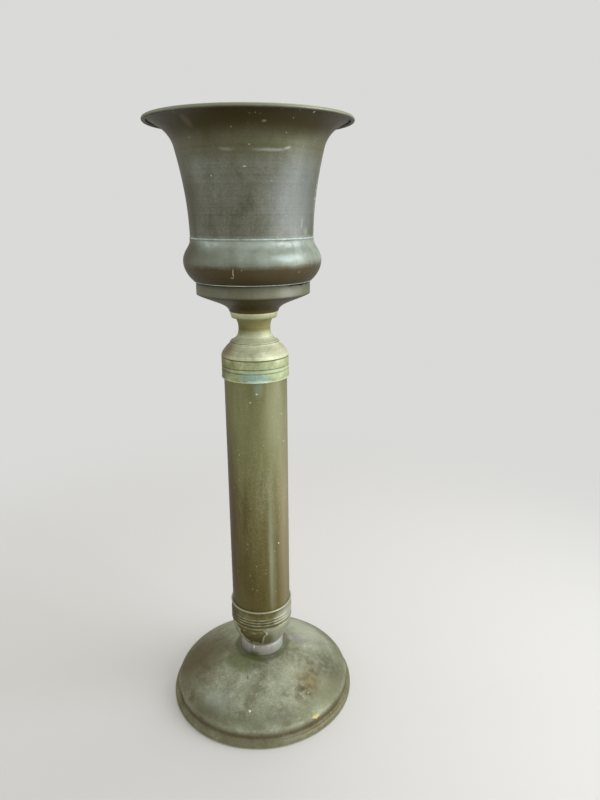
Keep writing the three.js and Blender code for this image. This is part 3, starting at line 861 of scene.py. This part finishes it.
def makeTube():
    seat, top, _ = measure("column_tube")
    inner, radius, rings = tube["radius"] - tube["wall"], tube["radius"], tube["rings"]
    outline = [(inner, 0)] + [(radius, top * i / rings) for i in range(rings + 1)] + [(inner, top)]
    piece = turned("columnTube", outline, seat, "column_tube", tubeBrass)
    dent(piece, depth=0.2, spacing=60)


footRing = {"bore": 38.12, "radius": 39.3, "beadSize": 1.1, "first": 5.4, "pitch": 4.05, "count": 3}


def makeFootFerrule():
    seat, top, _ = measure("foot_ferrule")
    size, radius = footRing["beadSize"], footRing["radius"]
    outline = [(footRing["bore"], 0)]
    bead(outline, radius, 0, size)
    for i in range(footRing["count"]):
        bead(outline, radius, footRing["first"] + i * footRing["pitch"], size)
    bead(outline, radius, top - 2 * size, size)
    outline.append((footRing["bore"], top))
    turned("footFerrule", outline, seat, "foot_ferrule", footBrass, edge=0.1)


cup = {"neckRadius": 22, "neckHeight": 14.4, "slope": 35, "mouthRadius": 38.9, "mouth": 47.4}


# The outside of the cup, from its neck up to its mouth.
def cupSide(steps):
    outline = [Vector((cup["neckRadius"], cup["neckHeight"]))]
    bend(outline, cup["slope"], (cup["mouthRadius"], cup["mouth"]), 90, steps)
    return outline


def makeCup():
    seat = measure("foot_cup")[0]
    mouth, neck = cup["mouth"], cup["neckRadius"]
    bore, top = spigot["radius"] - spigot["wall"], mouth + spigot["length"]
    outline = [(rodBore, 0), (neck, 0)] + cupSide(20)
    outline += [(spigot["radius"], mouth), (spigot["radius"], top), (bore, top),
                (bore, mouth - castWall), (neck - castWall, cup["neckHeight"] + castWall),
                (neck - castWall, castWall), (rodBore, castWall)]
    turned("footCup", outline, seat, "foot_cup", footBrass, edge=0.3)


# A skin of solder wiped over the joint of cup and collar. Its upper edge is torn: over the front
# it stops just above the collar, and to both sides it climbs most of the way up the cup.
skin = {
    "thickness": 0.7, "clear": 0.02, "steps": 40,
    "low": 0.2, "high": 1.06, "least": 0.04,        # how far up the cup it climbs, as shares
    "front": -108, "width": 28, "tear": (30, 9),    # in degrees; a tear is the rise at either side
    "torn": 0.22, "tornScale": 5, "tornPattern": (1.0, 2.0, 3),
    "edge": 2.2, "sway": 20, "swayPitch": 9,
}


def makeSolderSkin():
    seat = measure("foot_cup")[0]
    steps, low, high = skin["steps"], skin["low"], skin["high"]
    cupLine = cupSide(steps)
    step = (cupLine[-1] - cupLine[0]).length / steps
    piece = turned("solderSkin", cupLine, seat, "cup_solder", solderGrey, closed=False, steps=240,
                   edge=0)
    tornEdge = piece.data.attributes.new("torn", "FLOAT", "POINT")
    for vert in piece.data.vertices:
        height = vert.co.z / mm - seat
        share = min(range(len(cupLine)), key=lambda i: abs(cupLine[i].y - height)) / steps
        turn = (math.degrees(math.atan2(vert.co.y, vert.co.x)) - skin["front"] + 180) % 360 - 180
        away, tear = abs(turn) - skin["width"] / 2, skin["tear"][turn > 0]
        climb = low + (high - low) * min(1, max(0, away / tear))
        torn = noise.fractal(outward(vert.co) * skin["tornScale"], *skin["tornPattern"])
        climb = min(1, max(skin["least"], climb + skin["torn"] * torn))
        reach = share * climb * steps
        below = cupLine[int(reach)]
        spot = below.lerp(cupLine[min(int(reach) + 1, steps)], reach - int(reach))
        sway = math.radians(skin["sway"]) * noise.noise((0, 0, spot.y / skin["swayPitch"]))
        vert.co = Matrix.Rotation(sway, 3, "Z") @ outward(vert.co) * (spot.x + skin["clear"]) * mm
        vert.co.z = (spot.y + seat) * mm
        # how near the torn edge is, over the vertex and beside it: full over half of its width
        over = (1 - share) * climb * steps * step if climb < 1 else skin["edge"]
        inside = tear * min(1, max(0, (share * climb - low) / (high - low)))
        beside = math.radians(away - inside) * spot.x
        near = 2 - 2 * min(over, abs(beside)) / skin["edge"]
        tornEdge.data[vert.index].value = min(1, max(0, near))
    wall = piece.modifiers.new("wall", "SOLIDIFY")
    wall.thickness = skin["thickness"] * mm
    wall.offset = 1


makeTube()
makeFootFerrule()
makeCup()
makeSolderSkin()
print("column made")


collar = {"bore": 22.3, "radius": 28.4, "round": 4.4}


def makeCollar():
    seat, top, _ = measure("base_collar")
    bore, radius = collar["bore"], collar["radius"]
    outline = [(bore, -seating), (radius, -seating), (radius, top / 2)]
    curve(outline, (radius, top), (radius - collar["round"], top), steps=14)
    outline.append((bore, top))
    turned("baseCollar", outline, seat, "base_collar", baseBrass, edge=0.4)


base = {
    "hem": 7, "lipHeight": 8.5, "lipRise": 2, "lipWidth": 3.8, "cove": 1.6, "edgeHeight": 21,
    "edgeRound": 6, "crownRadius": 30, "sheet": 1.4,
}


# The dome is part of a sphere through the edge of the dome and the rim of its crown.
def domeSphere(edgeRadius, crownHeight):
    edge = Vector((edgeRadius, base["edgeHeight"]))
    crown = Vector((base["crownRadius"], crownHeight))
    middle = (crown.length_squared - edge.length_squared) / (2 * (crown.y - edge.y))
    return middle, (crown - Vector((0, middle))).length


def makeBase():
    _, top, radius = measure("base_dome")
    wall = radius - base["lipWidth"] - base["cove"]
    middle, sphere = domeSphere(wall, top)
    softRadius = wall - base["edgeRound"]
    softHeight = middle + math.sqrt(sphere ** 2 - softRadius ** 2)
    lip = base["lipHeight"]
    outline = [(radius - base["hem"], 0), (radius, 0), (radius, base["lipRise"])]
    bend(outline, 90, (radius - base["lipWidth"], lip), 180, steps=10)
    curve(outline, (wall, lip), (wall, (lip + base["edgeHeight"]) / 2), steps=8)
    outline.append((wall, base["edgeHeight"] - base["edgeRound"]))
    curve(outline, (wall, base["edgeHeight"]), (softRadius, softHeight), steps=8)
    slopes = [math.degrees(math.acos(r / sphere)) for r in (softRadius, base["crownRadius"])]
    arc(outline, (0, middle), sphere, slopes[0], slopes[1], steps=28)
    outline.append((rodBore, top))
    piece = turned("baseDome", outline, 0, "base_dome", baseBrass, closed=False, steps=200,
                   edge=0.4)
    thicken(piece, base["sheet"])


weight = {"radius": 78, "below": 2.0}


def makeWeight():
    seat, top, _ = measure("base_weight")
    _, crown, radius = measure("base_dome")
    middle, sphere = domeSphere(radius - base["lipWidth"] - base["cove"], crown)
    sphere -= weight["below"]
    middle -= seat
    flat = math.sqrt(sphere ** 2 - (top - middle) ** 2)
    slopes = [math.degrees(math.acos(r / sphere)) for r in (weight["radius"], flat)]
    outline = [(rodBore, 0), (weight["radius"], 0)]
    arc(outline, (0, middle), sphere, slopes[0], slopes[1], steps=10)
    outline.append((rodBore, top))
    turned("castWeight", outline, seat, "base_weight", ironBlack, edge=1.0)


makeCollar()
makeBase()
makeWeight()
print("base made")


# The tie rod is threaded at both ends: a core cut down to the root, with a helical ridge on it.
rod = {
    "radius": 4.75, "root": 4.0, "chamfer": 0.6, "pitch": 1.6, "turns": 13, "steps": 24,
    "bite": 0.05,
}


def makeRod():
    foot, length, _ = measure("tie_rod")
    top = foot + length
    threaded = rod["pitch"] * (rod["turns"] + 1)
    root, radius, chamfer = rod["root"], rod["radius"], rod["chamfer"]
    outline = [(0, foot), (root - chamfer, foot), (root, foot + chamfer), (root, foot + threaded),
               (radius, foot + threaded + chamfer), (radius, top - threaded - chamfer),
               (root, top - threaded), (root, top - chamfer), (root - chamfer, top), (0, top)]
    turned("rodCore", outline, 0, "tie_rod", steelGrey, closed=False, steps=40, edge=0)
    makeThread("footThread", foot + chamfer)
    makeThread("headThread", top - threaded + rod["pitch"] - chamfer)


def makeThread(name, start):
    bm = bmesh.new()
    pitch, root = rod["pitch"], rod["root"] - rod["bite"]
    ridge = [(root, 0), (rod["radius"], 0.5 * pitch), (root, pitch - rod["bite"])]
    verts = [bm.verts.new((r * mm, 0, (start + z) * mm)) for r, z in ridge]
    bm.faces.new(verts)
    steps, turns = rod["steps"] * rod["turns"], rod["turns"] - 1
    bmesh.ops.spin(bm, geom=bm.verts[:] + bm.edges[:] + bm.faces[:], axis=(0, 0, 1), cent=(0, 0, 0),
                   angle=math.tau * turns, steps=steps, dvec=(0, 0, pitch * turns * mm / steps))
    bmesh.ops.remove_doubles(bm, verts=bm.verts, dist=weld * mm)
    bmesh.ops.recalc_face_normals(bm, faces=bm.faces)
    finishPiece(bm, name, None, steelGrey)


# A hexagon nut: its corners are cut back by a cone at both faces, as on a turned nut.
nut = {"width": 16, "flats": 6, "bore": 4.9, "lead": 0.7, "chamfer": 30, "inset": 0.3, "steps": 72}


def makeNut(name, node):
    foot, height, _ = measure(node)
    apothem = nut["width"] / 2
    cut, inset = math.tan(math.radians(nut["chamfer"])), nut["inset"]
    flat = 360 / nut["flats"]
    reach = {"bore": nut["bore"], "lead": nut["bore"] + nut["lead"], "face": apothem - inset}
    levels = [("bore", nut["lead"]), ("bore", height - nut["lead"]), ("lead", height),
              ("face", height), ("flank", height), ("flank", 0), ("face", 0), ("lead", 0)]
    bm = bmesh.new()
    ring = bmesh.ops.create_circle(bm, cap_ends=False, segments=nut["steps"], radius=apothem * mm)
    ring = ring["verts"]
    first = edges = bm.edges[:]
    for i, (part, level) in enumerate(levels):
        if i:
            grown = bmesh.ops.extrude_edge_only(bm, edges=edges)["geom"]
            ring = [item for item in grown if isinstance(item, bmesh.types.BMVert)]
            edges = [item for item in grown if isinstance(item, bmesh.types.BMEdge)
                     and all(vert in ring for vert in item.verts)]
        for vert in ring:
            turn = math.degrees(math.atan2(vert.co.y, vert.co.x)) % flat - flat / 2
            flank = apothem / math.cos(math.radians(turn))
            radius = reach.get(part, flank)
            drop = (flank - apothem + inset) * cut if part == "flank" else 0
            rise = level - drop if level > height / 2 else level + drop
            vert.co = outward(vert.co) * radius * mm + Vector((0, 0, (foot + rise) * mm))
    bmesh.ops.bridge_loops(bm, edges=edges + first)
    bmesh.ops.recalc_face_normals(bm, faces=bm.faces)
    finishPiece(bm, name, node, steelGrey, sharp=20)


# Washers are punched: one rim is rounded over and the other keeps a small burr.
washer = {"radius": 15, "roll": 0.6, "burr": 0.12}


def makeWasher(name, node):
    foot, thick, _ = measure(node)
    radius, roll, burr = washer["radius"], washer["roll"], washer["burr"]
    outline = [(rodBore, burr), (radius - roll, burr), (radius, 0), (radius, thick - roll)]
    curve(outline, (radius, thick), (radius - roll, thick), steps=4)
    outline += [(rodBore + roll, thick), (rodBore, thick - roll)]
    turned(name, outline, foot, node, steelGrey, steps=96, edge=0.08)


makeRod()
makeNut("headNut", "upper_nut")
makeNut("footNut", "lower_nut")
makeWasher("headWasher", "upper_washer")
makeWasher("footWasher", "lower_washer")
print("tie rod made")


# Places in the studio are in metres. The floor fades into the air between two distances.
studio = {
    "floor": "#c6c4bf", "floorRough": 0.9, "floorGloss": 0.1, "floorRadius": 30,
    "air": "#dadad8", "clearRadius": 0.35, "fadeRadius": 1.1, "middle": 0.4,
}


def makeFloor():
    bm = bmesh.new()
    bmesh.ops.create_circle(bm, cap_ends=True, segments=96, radius=studio["floorRadius"])
    mesh = bpy.data.meshes.new("floor")
    bm.to_mesh(mesh)
    bm.free()
    floor = bpy.data.objects.new("floor", mesh)
    bpy.context.collection.objects.link(floor)
    paper = bpy.data.materials.new("matt backdrop paper")
    paper.use_nodes = True
    tree = paper.node_tree
    shader = tree.nodes["Principled BSDF"]
    shader.inputs["Base Color"].default_value = linear(studio["floor"])
    shader.inputs["Roughness"].default_value = studio["floorRough"]
    shader.inputs["Specular IOR Level"].default_value = studio["floorGloss"]
    coord = addNode(tree, "TexCoord", {}, "Object")
    far = addNode(tree, "VectorMath", {"operation": "LENGTH", 0: coord}, "Value")
    mask = addNode(tree, "MapRange", {
        **soft, 0: far, 1: studio["clearRadius"], 2: studio["fadeRadius"]})
    haze = addNode(tree, "Emission", {"Color": linear(studio["air"])})
    mix = addNode(tree, "MixShader", {0: mask, 1: shader.outputs[0], 2: haze})
    tree.links.new(mix, tree.nodes["Material Output"].inputs["Surface"])
    floor.data.materials.append(paper)


def makeAir():
    world = bpy.data.worlds.new("studio air")
    world.use_nodes = True
    world.node_tree.nodes["Background"].inputs["Color"].default_value = linear(studio["air"])
    bpy.context.scene.world = world


# Each soft box stands at an azimuth, a height and a distance, and faces the middle of the stand.
lamps = {
    "key": {"azimuth": -16, "height": 0.85, "distance": 1.5, "size": (1.0, 1.5),
            "watts": 24, "tint": "#eef3ff"},
    "strip": {"azimuth": -44, "height": 0.7, "distance": 1.6, "size": (0.1, 1.3),
              "watts": 4, "tint": "#ffffff"},
    "fill": {"azimuth": 168, "height": 0.9, "distance": 1.6, "size": (0.35, 1.3),
             "watts": 1.6, "tint": "#e4ecff"},
    "top": {"azimuth": 60, "height": 2.2, "distance": 0.7, "size": (1.4, 1.2),
            "watts": 18, "tint": "#ffffff"},
}


def makeLamp(name, lamp):
    light = bpy.data.lights.new(name, "AREA")
    light.shape = "RECTANGLE"
    light.size, light.size_y = lamp["size"]
    light.energy = lamp["watts"]
    light.color = linear(lamp["tint"])[:3]
    box = bpy.data.objects.new(name, light)
    angle = math.radians(lamp["azimuth"])
    far = lamp["distance"]
    box.location = (math.cos(angle) * far, math.sin(angle) * far, lamp["height"])
    aim = Vector((0, 0, studio["middle"])) - box.location
    box.rotation_euler = aim.to_track_quat("-Z", "Y").to_euler()
    bpy.context.collection.objects.link(box)


view = {
    "lens": 28.1, "sensor": 36, "place": (0, -0.7358, 0.6344), "turn": 4.18, "tilt": 16.81,
    "roll": 0.28,
}


def makeCamera():
    lens = bpy.data.cameras.new("camera")
    lens.lens = view["lens"]
    lens.sensor_width = view["sensor"]
    camera = bpy.data.objects.new("camera", lens)
    turn, tilt, roll = (math.radians(view[key]) for key in ("turn", "tilt", "roll"))
    aim = Matrix.Rotation(-turn, 4, "Z") @ Matrix.Rotation(math.pi / 2 - tilt, 4, "X")
    camera.matrix_world = Matrix.Translation(view["place"]) @ aim @ Matrix.Rotation(-roll, 4, "Z")
    bpy.context.collection.objects.link(camera)
    bpy.context.scene.camera = camera


makeFloor()
makeAir()
for name, lamp in lamps.items():
    makeLamp(name, lamp)
makeCamera()
bpy.context.scene.view_settings.view_transform = "Standard"
print("studio made")
